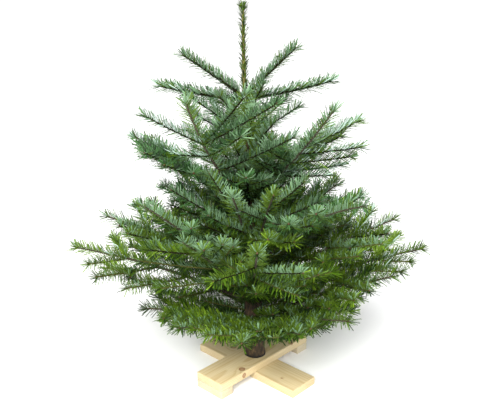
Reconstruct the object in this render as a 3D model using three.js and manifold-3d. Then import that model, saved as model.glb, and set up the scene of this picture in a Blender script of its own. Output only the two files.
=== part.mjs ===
// A small cut fir for Christmas, standing on a cross of two pine planks.
//
// Millimetres, +Z up. The origin is on the floor under the middle of the cross. The tree's left is
// -X and its front is -Y. An azimuth is measured from +X towards +Y, so the front is at -90.
//
// The trunk runs whole from its flat cut to its tip. Boughs stand round it in yearly whorls. Each
// longer bough is one bare tapering limb that ends where it enters its own mass of foliage, and each
// mass is one fused body: a stem, side shoots in pairs, and toothed blades that stand for needles.

import * as THREE from 'three';
import { mergeVertices } from 'three/addons/utils/BufferGeometryUtils.js';
import { RoundedBoxGeometry } from 'three/addons/geometries/RoundedBoxGeometry.js';
import Module from 'manifold-3d';

const wasm = await Module();
wasm.setup();

// ---- Driving dimensions ----

const GAP = 0.3; // clearance between neighbouring pieces

const PLANK = { length: 365, width: 95, thickness: 23, eased: 1.6 };
const FOOT_BLOCK_LENGTH = 44; // under each end of the upper plank
const UPPER_PLANK_AZIMUTH = 47; // the lower plank lies square to it

const TRUNK_FOOT = 2 * (PLANK.thickness + GAP);
const TRUNK_SIDES = 12;
// Height, radius and lean towards +X at each change of the trunk's taper.
const TRUNK = [
  { z: TRUNK_FOOT, radius: 31, lean: 0 },
  { z: 64, radius: 28.5, lean: -0.5 },
  { z: 250, radius: 20, lean: -7.5 },
  { z: 505, radius: 13, lean: -17.5 },
  { z: 768, radius: 8.6, lean: -27.5 },
  { z: 790, radius: 6.6, lean: -28.2 },
  { z: 806, radius: 5.6, lean: -28.5 },
  { z: 1002, radius: 3.6, lean: -31.8 },
  { z: 1013, radius: 1.4, lean: -32 },
];

// Boughs: height on the trunk, azimuth, lift above level, curl (how far the lift changes towards
// the tip), length, years of growth, radius at the trunk, and whether its bare part is a limb of
// its own. The other boughs are the stems of their masses, from the trunk on.
const BARE = 0.26; // share of a bough of three years that bears no needles
const bough = (name, z, azimuth, lift, curl, length, years, radius, limb = false) => (
  { name, z, azimuth, lift, curl, length, years, radius, limb });
const BOUGHS = [
  bough('top_left_high', 783, 197, 37, -4, 190, 1, 3),
  bough('top_left_low', 776, 165, 4, 6, 235, 1, 3),
  bough('top_right_high', 783, -15, 46, -4, 180, 1, 3),
  bough('top_right_low', 778, 12, 7, 6, 235, 1, 3),

  bough('upper_front_left', 500, -122, 34, 30, 400, 2, 4.4),
  bough('upper_front_right', 508, -40, 38, 16, 370, 2, 4.4),
  bough('upper_left', 500, 190, 34, -2, 350, 2, 4.2),
  bough('upper_right', 512, 2, 40, -4, 325, 2, 4.2),
  bough('upper_back_right', 498, 68, 27, -12, 315, 2, 4.2),
  bough('upper_back_left', 508, 115, 41, 6, 360, 2, 4.2),
  bough('upper_front', 492, -92, 45, -18, 210, 2, 3.2),

  bough('between_left', 400, 176, 30, 4, 270, 2, 3.6),
  bough('between_right', 392, 6, 28, 10, 280, 2, 3.6),
  bough('between_back_right', 404, 66, 32, -2, 310, 2, 3.6),
  bough('between_back_left', 396, 110, 32, -2, 310, 2, 3.6),

  bough('middle_left', 262, 180, 35, -16, 440, 3, 5.4, true),
  bough('middle_right', 258, 0, 30, -6, 430, 3, 5.4, true),
  bough('middle_front_left', 270, -140, 43, -4, 435, 3, 5.2, true),
  bough('middle_front_right', 272, -42, 62, -44, 455, 3, 5.2, true),
  bough('middle_steep_left', 284, -101, 64, -25, 390, 2, 4.6),
  bough('middle_steep_right', 262, -78, 67, -25, 400, 2, 4.6),
  bough('middle_back_right', 268, 45, 34, -4, 430, 3, 5.2, true),
  bough('middle_back', 256, 84, 34, -4, 465, 3, 5.2, true),
  bough('middle_back_left', 274, 130, 36, 0, 440, 3, 5.2, true),

  bough('lower_left', 202, 174, 25, -17, 525, 3, 6, true),
  bough('lower_right', 196, 6, 26, -17, 505, 3, 6, true),
  bough('lower_front', 192, -89, 48, -16, 480, 3, 5.6, true),
  bough('lower_front_left', 204, -124, 49, -12, 400, 3, 5.4, true),
  bough('lower_front_right', 210, -56, 36, -6, 330, 3, 4.8),
  bough('lower_back_right', 206, 51, 22, -8, 530, 3, 5.6, true),
  bough('lower_back_left', 198, 120, 22, -6, 490, 3, 5.6, true),

  bough('bottom_left', 152, 200, 20, -8, 315, 3, 5.4, true),
  bough('bottom_right', 156, -16, 29, -8, 415, 3, 5.4, true),
  bough('bottom_front_right', 146, -50, 26, -8, 375, 3, 5),
  bough('bottom_front_left', 150, -127, 23, -8, 320, 3, 5),
  bough('bottom_back', 150, 88, 14, -8, 375, 3, 5.2, true),
  bough('bottom_fore_left', 132, -95, 23, -2, 375, 3, 4.8),
  bough('bottom_fore_right', 138, -72, 26, -6, 360, 3, 4.8),
];

// Side shoots: where they stand along the parent, how far they reach and at what angle.
const SIDE = {
  nodes: [[], [], [0.4, 0.66], [0.38, 0.64]], // shares of a bough's length, by its years
  reachBase: 0.5, // share of the parent's remaining length, at its root
  reachGrowth: 0.6, // and how much that share grows towards the tip
  reachSpread: 0.08,
  angle: 50,
  angleSpread: 7,
  riseSpread: 0.07,
  curl: 5,
  radiusShare: 0.6,
  leastLength: 45,
};

// Side shoots of the boughs that face forward: share of the bough's length, azimuth, lift and length.
const OWN_SHOOTS = {
  upper_front_left: [
    [0.45, -25, 25, 220], [0.6, -55, 25, 150], [0.6, 180, 0, 80], [0.7, -175, 25, 150],
    [0.7, -45, 25, 260], [0.7, -45, 40, 190],
  ],
  upper_front_right: [
    [0.35, -30, 5, 130], [0.35, -130, 30, 110], [0.4, -5, 5, 150], [0.4, -130, 25, 90],
    [0.5, -130, 25, 110], [0.5, -140, 55, 50], [0.5, -5, 5, 150], [0.6, -5, 5, 150],
    [0.65, 20, 20, 160],
  ],
  middle_steep_left: [
    [0.35, -45, 30, 120], [0.4, -160, 25, 130], [0.5, -150, 30, 120], [0.55, -170, 30, 210],
    [0.6, -40, 35, 80], [0.7, -160, 55, 140],
  ],
  middle_steep_right: [
    [0.35, -30, 25, 130], [0.4, -140, 25, 120], [0.5, -30, 25, 140], [0.5, -145, 25, 110],
    [0.65, -20, 25, 160], [0.7, -145, 25, 80], [0.8, -30, 40, 130],
  ],
  lower_front: [
    [0.3, -35, 15, 160], [0.3, -145, 20, 140], [0.5, -150, 30, 90], [0.5, -50, 0, 150],
    [0.6, -50, 15, 170], [0.7, -135, 0, 130],
  ],
  lower_front_left: [
    [0.3, -75, 20, 120], [0.4, -155, 0, 190], [0.55, -165, 10, 200], [0.6, -60, 40, 120],
    [0.8, -175, 5, 130], [0.8, -80, 25, 90],
  ],
};

// The boughs at the crown's edges fan wide: four pairs of side shoots, where they stand along the
// bough, and how long they are as shares of it.
const FAN = { shares: [0.2, 0.38, 0.55, 0.72], reach: [0.32, 0.46, 0.44, 0.28] };
// Each fan: angle to the bough, lift, and fullness on the left and the right of it.
const FANS = {
  upper_left: { angle: 50, lift: 20, left: 1.2, right: 0.8 },
  middle_left: { angle: 60, lift: 22, left: 1.1, right: 0.9 },
  lower_left: { angle: 55, lift: 8, left: 0.9, right: 0.8 },
  bottom_left: { angle: 55, lift: 12, left: 1.2, right: 0.8 },
  middle_front_right: { angle: 60, lift: 20, left: 0.9, right: 1 },
  middle_right: { angle: 55, lift: 18, left: 1, right: 1.1 },
  lower_right: { angle: 45, lift: 10, left: 1, right: 0.8 },
  bottom_right: { angle: 55, lift: 16, left: 0.8, right: 0.9 },
  bottom_front_right: { angle: 55, lift: 12, left: 0.8, right: 1 },
};

const LIMB_SIDES = 6;
const TIP_RADIUS = 1.3;
const LEAST_RADIUS = 1.9;

// A shoot's needles as a toothed edge: reach sideways, pitch and forward lean of the teeth, share
// of the reach that is left between them, rise above the midrib, least thickness, and thickness as
// a share of the length.
const SPRAY = { reach: 22, pitch: 72, lean: 10, notch: 0.4, tilt: 30, edge: 1.6, slender: 0.011 };
const CROSSED = [-40, 40]; // turns of the two toothed edges on a shoot of the top whorl
const CLEARANCE = 0.5; // between shoots of different masses
// A shoot that is in another's way is tried narrower and shorter, and then left out.
const NARROWER = [1, 0.7];
const SHORTER = [1, 0.8, 0.6];

// Needles that lie close round the leader, above the top whorl.
const LEADER = { from: 812, to: 1000, wall: 1.8, sides: 6, reach: 10, tuft: 16, pitch: 27, depth: 2 };

const UPPER_CROWN = 450; // boughs above this height have the bluer needles

const COLOURS = {
  pine: { color: 0xe6cf9f, roughness: 0.62, metalness: 0 },
  pineFeet: { color: 0xefe1bd, roughness: 0.66, metalness: 0 },
  bark: { color: 0x4a3626, roughness: 0.92, metalness: 0 },
  boughBark: { color: 0x5b4a34, roughness: 0.9, metalness: 0 },
  needlesYoung: { color: 0x5f8a4a, roughness: 0.55, metalness: 0 },
  needlesUpper: { color: 0x4c7a55, roughness: 0.55, metalness: 0 },
  needlesLower: { color: 0x4d8036, roughness: 0.58, metalness: 0 },
};

// ---- Solids ----

const radians = THREE.MathUtils.degToRad;
const tree = new THREE.Group();

// A three.js geometry as a solid: shared corners merged, collapsed triangles dropped.
function toSolid(geometry) {
  const bare = geometry.clone();
  bare.deleteAttribute('normal');
  bare.deleteAttribute('uv');
  const merged = mergeVertices(bare, 1e-4);
  const index = merged.index.array;
  const triangles = [];
  for (let i = 0; i < index.length; i += 3) {
    const [a, b, c] = [index[i], index[i + 1], index[i + 2]];
    if (a !== b && b !== c && c !== a) triangles.push(a, b, c);
  }
  return new wasm.Manifold(new wasm.Mesh({
    numProp: 3,
    vertProperties: new Float32Array(merged.attributes.position.array),
    triVerts: new Uint32Array(triangles),
  }));
}

function toGeometry(solid) {
  const mesh = solid.getMesh();
  const geometry = new THREE.BufferGeometry();
  geometry.setAttribute('position', new THREE.BufferAttribute(mesh.vertProperties, 3));
  geometry.setIndex(new THREE.BufferAttribute(mesh.triVerts, 1));
  geometry.computeVertexNormals();
  return geometry;
}

function addMesh(name, geometry, finish) {
  const mesh = new THREE.Mesh(geometry, new THREE.MeshStandardMaterial(COLOURS[finish]));
  mesh.name = name;
  tree.add(mesh);
  return mesh;
}

// Moves every corner of a geometry by a function of its position.
function reshape(geometry, move) {
  const position = geometry.attributes.position;
  const corner = new THREE.Vector3();
  for (let i = 0; i < position.count; i += 1) {
    move(corner.fromBufferAttribute(position, i));
    position.setXYZ(i, corner.x, corner.y, corner.z);
  }
  return geometry;
}

// ---- Stand ----

function addPlank(name, length, azimuth, layer, shift, finish) {
  const { width, thickness, eased } = PLANK;
  const plank = addMesh(name, new RoundedBoxGeometry(length, width, thickness, 1, eased), finish);
  const turn = radians(azimuth);
  plank.rotation.z = turn;
  const middle = layer * (thickness + GAP) + thickness / 2;
  plank.position.set(shift * Math.cos(turn), shift * Math.sin(turn), middle);
}

function addStand() {
  const footShift = (PLANK.length - FOOT_BLOCK_LENGTH) / 2;
  addPlank('stand_lower_plank', PLANK.length, UPPER_PLANK_AZIMUTH + 90, 0, 0, 'pine');
  addPlank('stand_upper_plank', PLANK.length, UPPER_PLANK_AZIMUTH, 1, 0, 'pine');
  addPlank('stand_foot_front', FOOT_BLOCK_LENGTH, UPPER_PLANK_AZIMUTH, 0, -footShift, 'pineFeet');
  addPlank('stand_foot_back', FOOT_BLOCK_LENGTH, UPPER_PLANK_AZIMUTH, 0, footShift, 'pineFeet');
}

// ---- Trunk ----

// One value of the trunk's table at a height, in a straight line between its rows.
function trunkValue(z, key) {
  const above = TRUNK.findIndex((row) => row.z >= z);
  if (above === 0) return TRUNK[0][key];
  if (above < 0) return TRUNK.at(-1)[key];
  const [low, high] = [TRUNK[above - 1], TRUNK[above]];
  return THREE.MathUtils.mapLinear(z, low.z, high.z, low[key], high[key]);
}

// A round body that follows the trunk's lean, from a list of { z, radius } rows.
function leaningBody(rows, sides) {
  const profile = rows.map((row) => new THREE.Vector2(row.radius, row.z));
  profile.unshift(new THREE.Vector2(0, rows[0].z));
  profile.push(new THREE.Vector2(0, rows.at(-1).z));
  const body = new THREE.LatheGeometry(profile, sides).rotateX(Math.PI / 2);
  return toSolid(reshape(body, (corner) => {
    corner.x += trunkValue(corner.z, 'lean');
  }));
}

const trunk = leaningBody(TRUNK, TRUNK_SIDES);
// The trunk with a clearance all round, to cut what stands against it.
const trunkRoom = leaningBody(
  TRUNK.map((row) => ({ z: row.z, radius: row.radius + GAP * 1.1 })), TRUNK_SIDES);

// ---- Shoots ----

function randomFrom(seed) {
  let state = Math.imul(seed, 2654435761) >>> 0;
  return () => {
    state = (Math.imul(state, 1664525) + 1013904223) >>> 0;
    return state / 4294967296;
  };
}

function headingOf(azimuth, lift) {
  const [a, l] = [radians(azimuth), radians(lift)];
  return new THREE.Vector3(Math.cos(a) * Math.cos(l), Math.sin(a) * Math.cos(l), Math.sin(l));
}

// The place and the three directions of a shoot at a distance from its root. The shoot is a flat
// arc: its lift changes evenly by `curl` over its length.
function frameAt(shoot, distance) {
  const share = distance / shoot.length;
  const point = headingOf(shoot.azimuth, shoot.lift + shoot.curl * share / 2)
    .multiplyScalar(distance).add(shoot.start);
  const forward = headingOf(shoot.azimuth, shoot.lift + shoot.curl * share);
  const side = headingOf(shoot.azimuth + 90, 0);
  const up = new THREE.Vector3().crossVectors(forward, side);
  return { point, forward, side, up };
}

// Where a bough leaves the trunk's middle.
function rootOf(mass) {
  return new THREE.Vector3(trunkValue(mass.z, 'lean'), 0, mass.z);
}

function radiusAt(shoot, distance) {
  return THREE.MathUtils.lerp(shoot.radius, TIP_RADIUS, distance / shoot.length);
}

// Lays a geometry along a shoot: x runs with the shoot, y outwards at `tilt` from its side.
function layAlong(shoot, geometry, tilt = 0) {
  const [c, s] = [Math.cos(radians(tilt)), Math.sin(radians(tilt))];
  return toSolid(reshape(geometry, (corner) => {
    const { point, side, up } = frameAt(shoot, corner.x);
    point.addScaledVector(side, corner.y * c - corner.z * s);
    corner.copy(point.addScaledVector(up, corner.y * s + corner.z * c));
  }));
}

function limbSolid(shoot, to) {
  const limb = new THREE.CylinderGeometry(radiusAt(shoot, to), radiusAt(shoot, 0), to, LIMB_SIDES, 2);
  return layAlong(shoot, limb.rotateZ(-Math.PI / 2).translate(to / 2, 0, 0));
}

// A shoot with its needles, in one body: a tapering midrib that thins out to a toothed edge on both
// sides. The edges rise from the midrib, and every tooth leans towards the shoot's tip.
function sprayGeometry(shoot, from, needlesFrom, reach) {
  const length = shoot.length - needlesFrom;
  const teeth = Math.max(2, Math.round(length / SPRAY.pitch));
  const edge = Math.max(SPRAY.edge, SPRAY.slender * length) / 2;
  const rise = Math.tan(radians(SPRAY.tilt));
  const fullness = (i) => reach * (0.7 + 0.3 * Math.sin(Math.PI * Math.min(1, i / teeth + 0.1)));
  const corners = [];
  const triangles = [];
  const add = (x, y, z) => corners.push(x, y, z) / 3 - 1;
  const rim = (x, y, hand) => ({
    top: add(x, hand * y, y * rise + edge), bottom: add(x, hand * y, y * rise - edge),
  });

  const rows = [{ x: from, width: radiusAt(shoot, from) }];
  if (needlesFrom > from + 10) rows.push({ x: needlesFrom, width: radiusAt(shoot, needlesFrom) });
  for (let i = 1; i <= teeth; i += 1) {
    const width = i < teeth ? fullness(i) * SPRAY.notch : TIP_RADIUS;
    rows.push({ x: needlesFrom + i * length / teeth, width, tooth: fullness(i) });
  }
  for (const row of rows) {
    const radius = radiusAt(shoot, row.x);
    row.rib = { top: add(row.x, 0, radius), bottom: add(row.x, 0, -radius) };
  }
  for (const hand of [1, -1]) {
    const face = (a, b, c) => triangles.push(...(hand > 0 ? [a, b, c] : [a, c, b]));
    const quad = (a, b, c, d) => [[a, b, c], [a, c, d]].forEach((corner) => face(...corner));
    const wall = (a, b) => quad(a.bottom, b.bottom, b.top, a.top);
    let last = null;
    for (const row of rows) {
      const here = rim(row.x, row.width, hand);
      if (last === null) {
        quad(row.rib.top, here.top, here.bottom, row.rib.bottom);
      } else {
        quad(last.rib.top, row.rib.top, here.top, last.rim.top);
        quad(last.rib.bottom, last.rim.bottom, here.bottom, row.rib.bottom);
        if (row.tooth) {
          const tip = add(row.x + SPRAY.lean, hand * row.tooth, row.tooth * rise);
          face(last.rim.top, here.top, tip);
          face(last.rim.bottom, tip, here.bottom);
          face(here.bottom, tip, here.top);
          face(tip, last.rim.bottom, last.rim.top);
        } else {
          wall(here, last.rim);
        }
      }
      last = { rib: row.rib, rim: here };
    }
    quad(last.rib.top, last.rib.bottom, last.rim.bottom, last.rim.top);
  }
  const spray = new THREE.BufferGeometry();
  spray.setAttribute('position', new THREE.Float32BufferAttribute(corners, 3));
  spray.setIndex(triangles);
  return spray;
}

// A side shoot whose place and heading are given.
function ownShoot(shoot, k, [share, azimuth, lift, length]) {
  return {
    mass: shoot.mass,
    level: shoot.level + 1,
    seed: shoot.seed * 16 + k + 1,
    start: frameAt(shoot, share * shoot.length).point,
    azimuth,
    lift,
    curl: SIDE.curl,
    length,
    years: 1,
    radius: Math.max(LEAST_RADIUS, SIDE.radiusShare * radiusAt(shoot, share * shoot.length)),
  };
}

// A fan's side shoots in the form of OWN_SHOOTS.
function fanRows({ azimuth, length }, { angle, lift, left, right }) {
  return FAN.shares.flatMap((share, k) => [
    [share, azimuth + angle, lift, FAN.reach[k] * left * length],
    [share, azimuth - angle, lift, FAN.reach[k] * right * length],
  ]);
}

// The side shoots that a shoot bears, in pairs, each with a seed of its own.
function sideShoots(shoot) {
  const { name } = shoot.mass;
  const own = FANS[name] ? fanRows(shoot, FANS[name]) : OWN_SHOOTS[name];
  if (own) return own.map((values, k) => ownShoot(shoot, k, values));
  return SIDE.nodes[shoot.years].flatMap((share, k) => [1, -1].map((hand) => {
    const seed = shoot.seed * 16 + 2 * k + (hand > 0 ? 1 : 2);
    const random = randomFrom(seed);
    const spread = (size) => (random() * 2 - 1) * size;
    const { point, forward, side } = frameAt(shoot, share * shoot.length);
    const angle = radians(SIDE.angle + spread(SIDE.angleSpread));
    const reach = SIDE.reachBase + SIDE.reachGrowth * share + spread(SIDE.reachSpread);
    const heading = forward.multiplyScalar(Math.cos(angle)).addScaledVector(side, hand * Math.sin(angle));
    heading.z += spread(SIDE.riseSpread);
    heading.normalize();
    return {
      mass: shoot.mass,
      level: shoot.level + 1,
      seed,
      start: point,
      azimuth: THREE.MathUtils.radToDeg(Math.atan2(heading.y, heading.x)),
      lift: THREE.MathUtils.radToDeg(Math.asin(heading.z)),
      curl: SIDE.curl,
      length: shoot.length * (1 - share) * reach,
      years: 1,
      radius: Math.max(LEAST_RADIUS, SIDE.radiusShare * radiusAt(shoot, share * shoot.length)),
    };
  }));
}

// ---- Foliage: every piece placed so far, and what fits between them ----

const placed = [];

function place(owner, solid) {
  placed.push({ owner, solid, box: solid.boundingBox() });
}

function boxesNear(a, b, margin) {
  return [0, 1, 2].every((i) => a.min[i] - margin < b.max[i] && b.min[i] - margin < a.max[i]);
}

function isClear(owner, solid, gap) {
  const box = solid.boundingBox();
  return placed.every((other) => other.owner === owner
    || !boxesNear(box, other.box, gap)
    || solid.minGap(other.solid, gap + 1) > gap);
}

// Fits one shoot in among the others, and says whether it could.
function fitShoot(shoot, from, needlesFrom) {
  const { mass } = shoot;
  const gap = shoot.level === 0 ? GAP * 0.9 : CLEARANCE;
  const rolls = shoot.years === 1 && shoot.level === 0 ? CROSSED : [0];
  for (const share of NARROWER) {
    const geometry = sprayGeometry(shoot, from, needlesFrom, SPRAY.reach * share);
    let spray = wasm.Manifold.union(rolls.map((roll) => layAlong(shoot, geometry.clone(), roll)));
    if (shoot.level === 0 && !mass.limb) spray = spray.subtract(trunkRoom);
    if (isClear(mass.name, spray, gap)) {
      place(mass.name, spray);
      mass.solids.push(spray);
      return true;
    }
  }
  return false;
}

function fitMainShoot(mass, i) {
  mass.solids = [];
  const shoot = { ...mass, mass, level: 0, seed: i + 1, start: rootOf(mass) };
  const bare = mass.years > 2 ? BARE * mass.length : 0;
  const outOfTrunk = trunkValue(mass.z, 'radius') / Math.cos(radians(mass.lift)) + 8;
  const from = mass.limb ? bare + GAP : 0;
  mass.fitted = fitShoot(shoot, from, mass.limb ? from : Math.max(bare, outOfTrunk)) ? [shoot] : [];
}

function fitSideShoot(shoot) {
  for (const share of SHORTER) {
    const shorter = { ...shoot, length: shoot.length * share };
    if (shorter.length > SIDE.leastLength && fitShoot(shorter, 0, 0)) return;
  }
}

function addLimb(mass) {
  const limb = limbSolid({ ...mass, start: rootOf(mass) }, BARE * mass.length).subtract(trunkRoom);
  place(`bough_${mass.name}`, limb);
  addMesh(`bough_${mass.name}`, toGeometry(limb), 'boughBark');
}

function largestPiece(solid) {
  return solid.decompose().reduce((a, b) => (a.volume() > b.volume() ? a : b));
}

function addMass(mass) {
  const fused = largestPiece(wasm.Manifold.union(mass.solids));
  addMesh(`foliage_${mass.name}`, toGeometry(fused), mass.z > UPPER_CROWN ? 'needlesUpper' : 'needlesLower');
}

// A sleeve of short needles round the leader, which keeps the trunk whole inside it.
function addLeaderNeedles() {
  const { from, to, wall, sides, reach, tuft, pitch, depth } = LEADER;
  const room = GAP + wall;
  const sleeve = leaningBody([from, to].map((z) => ({ z, radius: trunkValue(z, 'radius') + room })), sides);
  const parts = [sleeve];
  const leanOf = (z) => trunkValue(z, 'lean');
  const leader = {
    start: new THREE.Vector3(leanOf(from), 0, from), azimuth: 180, curl: 0, length: to - from,
    lift: 90 - THREE.MathUtils.radToDeg(Math.atan2(leanOf(from) - leanOf(to), to - from)),
  };
  const teeth = Math.round(leader.length / pitch);
  const outline = new THREE.Shape().moveTo(0, 1);
  for (let i = 1; i <= teeth; i += 1) {
    const root = i * leader.length / teeth;
    outline.lineTo(root + (i < teeth ? SPRAY.lean : tuft), reach);
    if (i < teeth) outline.lineTo(root, reach * 0.65);
  }
  outline.lineTo(leader.length, 1);
  for (const tilt of [30, 150, 270]) {
    const blade = new THREE.ExtrudeGeometry(outline, { depth, bevelEnabled: false });
    parts.push(layAlong(leader, blade.translate(0, 0, -depth / 2), tilt));
  }
  const needles = largestPiece(wasm.Manifold.union(parts).subtract(trunkRoom));
  addMesh('foliage_leader', toGeometry(needles), 'needlesYoung');
  place('foliage_leader', needles);
}

// ---- Assembly ----

addStand();
addMesh('trunk', toGeometry(trunk), 'bark');
place('trunk', trunk);
addLeaderNeedles();
BOUGHS.filter((mass) => mass.limb).forEach(addLimb);
BOUGHS.forEach(fitMainShoot);
BOUGHS.flatMap((mass) => mass.fitted).flatMap(sideShoots).forEach(fitSideShoot);
BOUGHS.forEach(addMass);

export default tree;
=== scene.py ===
import math

import bmesh
import bpy
import numpy as np
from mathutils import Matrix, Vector, noise


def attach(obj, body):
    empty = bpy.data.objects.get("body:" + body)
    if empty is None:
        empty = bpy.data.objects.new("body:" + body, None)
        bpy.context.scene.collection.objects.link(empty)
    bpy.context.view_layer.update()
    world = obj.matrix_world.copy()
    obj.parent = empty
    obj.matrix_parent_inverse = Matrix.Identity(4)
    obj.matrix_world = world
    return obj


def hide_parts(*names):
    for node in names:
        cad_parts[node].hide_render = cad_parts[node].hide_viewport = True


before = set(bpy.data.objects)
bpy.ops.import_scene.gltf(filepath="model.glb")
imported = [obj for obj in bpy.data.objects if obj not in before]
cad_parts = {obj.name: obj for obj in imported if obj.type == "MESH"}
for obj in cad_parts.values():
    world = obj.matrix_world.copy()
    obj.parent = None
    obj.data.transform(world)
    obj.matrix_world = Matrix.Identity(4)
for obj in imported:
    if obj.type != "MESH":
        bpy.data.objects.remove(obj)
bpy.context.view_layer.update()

# A small cut fir on a cross of pine planks. Lengths in the dictionaries are millimetres, as in the
# model's source, and become metres when a mesh is made. The front of the tree is -Y. An azimuth is
# measured from +X towards +Y, and a lift from level.
mm = 0.001
goldenAngle = 137.508  # from one needle to the next round its stem
white = (1.0, 1.0, 1.0)
print("frame loaded:", len(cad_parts), "nodes")


def deselectAll():
    bpy.ops.object.select_all(action="DESELECT")


def settle(piece):
    # place, turn and size go into the mesh, so the object itself sits at the origin
    deselectAll()
    piece.select_set(True)
    bpy.context.view_layer.objects.active = piece
    bpy.ops.object.transform_apply(location=True, rotation=True, scale=True)


def finishPiece(piece, materials, nodes):
    for material in materials:
        piece.data.materials.append(material)
    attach(piece, "root")
    if nodes:
        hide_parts(*nodes)


def meshFromArrays(name, corners, triangles, tints, smooth=False):
    # corners in millimetres, one material number for each triangle
    mesh = bpy.data.meshes.new(name)
    count = len(triangles)
    mesh.vertices.add(len(corners))
    mesh.vertices.foreach_set("co", (corners * mm).astype(np.float32).ravel())
    mesh.loops.add(3 * count)
    mesh.loops.foreach_set("vertex_index", triangles.astype(np.int32).ravel())
    mesh.polygons.add(count)
    mesh.polygons.foreach_set("loop_start", np.arange(0, 3 * count, 3, dtype=np.int32))
    mesh.polygons.foreach_set("use_smooth", np.full(count, smooth))
    mesh.polygons.foreach_set("material_index", tints.astype(np.int32))
    mesh.update(calc_edges=True)
    mesh.validate()
    piece = bpy.data.objects.new(name, mesh)
    bpy.context.collection.objects.link(piece)
    return piece


def shaderOf(material):
    return material.node_tree.nodes["Principled BSDF"]


def newMaterial(name, roughness, colour=None, specular=0.5):
    material = bpy.data.materials.new(name)
    material.use_nodes = True
    inputs = shaderOf(material).inputs
    inputs["Roughness"].default_value = roughness
    inputs["Specular IOR Level"].default_value = specular
    if colour:
        inputs["Base Color"].default_value = (*colour, 1)
    return material


def addNode(material, kind, **settings):
    node = material.node_tree.nodes.new(kind)
    for key, value in settings.items():
        setattr(node, key, value)
    return node


def join(material, output, target):
    material.node_tree.links.new(output, target)


def feed(material, value, socket):
    # the output of another node, or a plain value
    if hasattr(value, "links"):
        join(material, value, socket)
    else:
        socket.default_value = value


def ramp(material, factor, *stops):
    node = addNode(material, "ShaderNodeValToRGB")
    elements = node.color_ramp.elements
    while len(elements) < len(stops):
        elements.new(0.5)
    for element, (place, colour) in zip(elements, stops):
        element.position = place
        element.color = (*colour, 1)
    join(material, factor, node.inputs["Fac"])
    return node.outputs["Color"]


def noiseOn(material, vector, scale, detail=3, roughness=0.55):
    node = addNode(material, "ShaderNodeTexNoise")
    node.inputs["Scale"].default_value = scale
    node.inputs["Detail"].default_value = detail
    node.inputs["Roughness"].default_value = roughness
    join(material, vector, node.inputs["Vector"])
    return node.outputs["Fac"]


def mixColour(material, factor, first, second, blend="MIX"):
    node = addNode(material, "ShaderNodeMix", data_type="RGBA", blend_type=blend)
    for value, socket in ((factor, node.inputs[0]), (first, node.inputs[6]), (second, node.inputs[7])):
        feed(material, value, socket)
    return node.outputs[2]


def combine(material, operation, *values):
    node = addNode(material, "ShaderNodeMath", operation=operation)
    for value, socket in zip(values, node.inputs):
        feed(material, value, socket)
    return node.outputs[0]


def mapped(material, turn=(0, 0, 0), place=(0, 0, 0), stretch=(1, 1, 1)):
    # object coordinates, first turned to run with the piece and then stretched
    coordinates = addNode(material, "ShaderNodeTexCoord")
    turned = addNode(material, "ShaderNodeMapping", vector_type="POINT")
    turned.inputs["Rotation"].default_value = turn
    join(material, coordinates.outputs["Object"], turned.inputs["Vector"])
    mapping = addNode(material, "ShaderNodeMapping", vector_type="POINT")
    mapping.inputs["Location"].default_value = place
    mapping.inputs["Scale"].default_value = stretch
    join(material, turned.outputs["Vector"], mapping.inputs["Vector"])
    return mapping.outputs["Vector"]


def bump(material, height, strength, depth):
    node = addNode(material, "ShaderNodeBump")
    node.inputs["Strength"].default_value = strength
    node.inputs["Distance"].default_value = depth * mm
    join(material, height, node.inputs["Height"])
    join(material, node.outputs["Normal"], shaderOf(material).inputs["Normal"])


def baseColour(material, colour):
    join(material, colour, shaderOf(material).inputs["Base Color"])


plank = {
    "length": 365, "width": 95, "thickness": 23, "eased": 1.6, "easeSteps": 3,
    "footLength": 44, "azimuth": 47, "gap": 0.3, "smoothUnder": 35,
}
# in each board's own turn: its pith line, across and below, and its knots, along, across, up, radius
boards = {
    "upper": ((12, 58), [(-89, -34, 46, 10), (-95, -48, 35, 8), (112, -41, 46, 8), (102, -12, 46, 5)]),
    "lower": ((-20, 66), [(96, -10, 23, 10), (-120, 20, 23, 3)]),
    "feet": ((30, 40), [(158, 30, 12, 5)]),
}
pine = {
    "early": (0.66, 0.55, 0.345), "late": (0.55, 0.42, 0.225), "feetEarly": (0.60, 0.53, 0.39),
    "feetLate": (0.53, 0.44, 0.29), "knot": (0.23, 0.10, 0.04), "fibreShade": (0.84, 0.81, 0.76),
    "patchShade": (0.90, 0.84, 0.74), "patchStrength": 0.8, "roughness": 0.55,
    "ringPitch": 4.2, "ringWander": 2.2, "alongPith": 0.06,
    # how uneven a knot's edge is, how far the rings swell round it and how soon they settle
    "knotScale": 160, "knotWobble": 0.5, "knotSwell": 7, "knotSettle": 0.9,
    "fibres": (8, 420, 420), "patches": (7, 26, 26), "relief": (0.12, 0.4),
}


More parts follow.
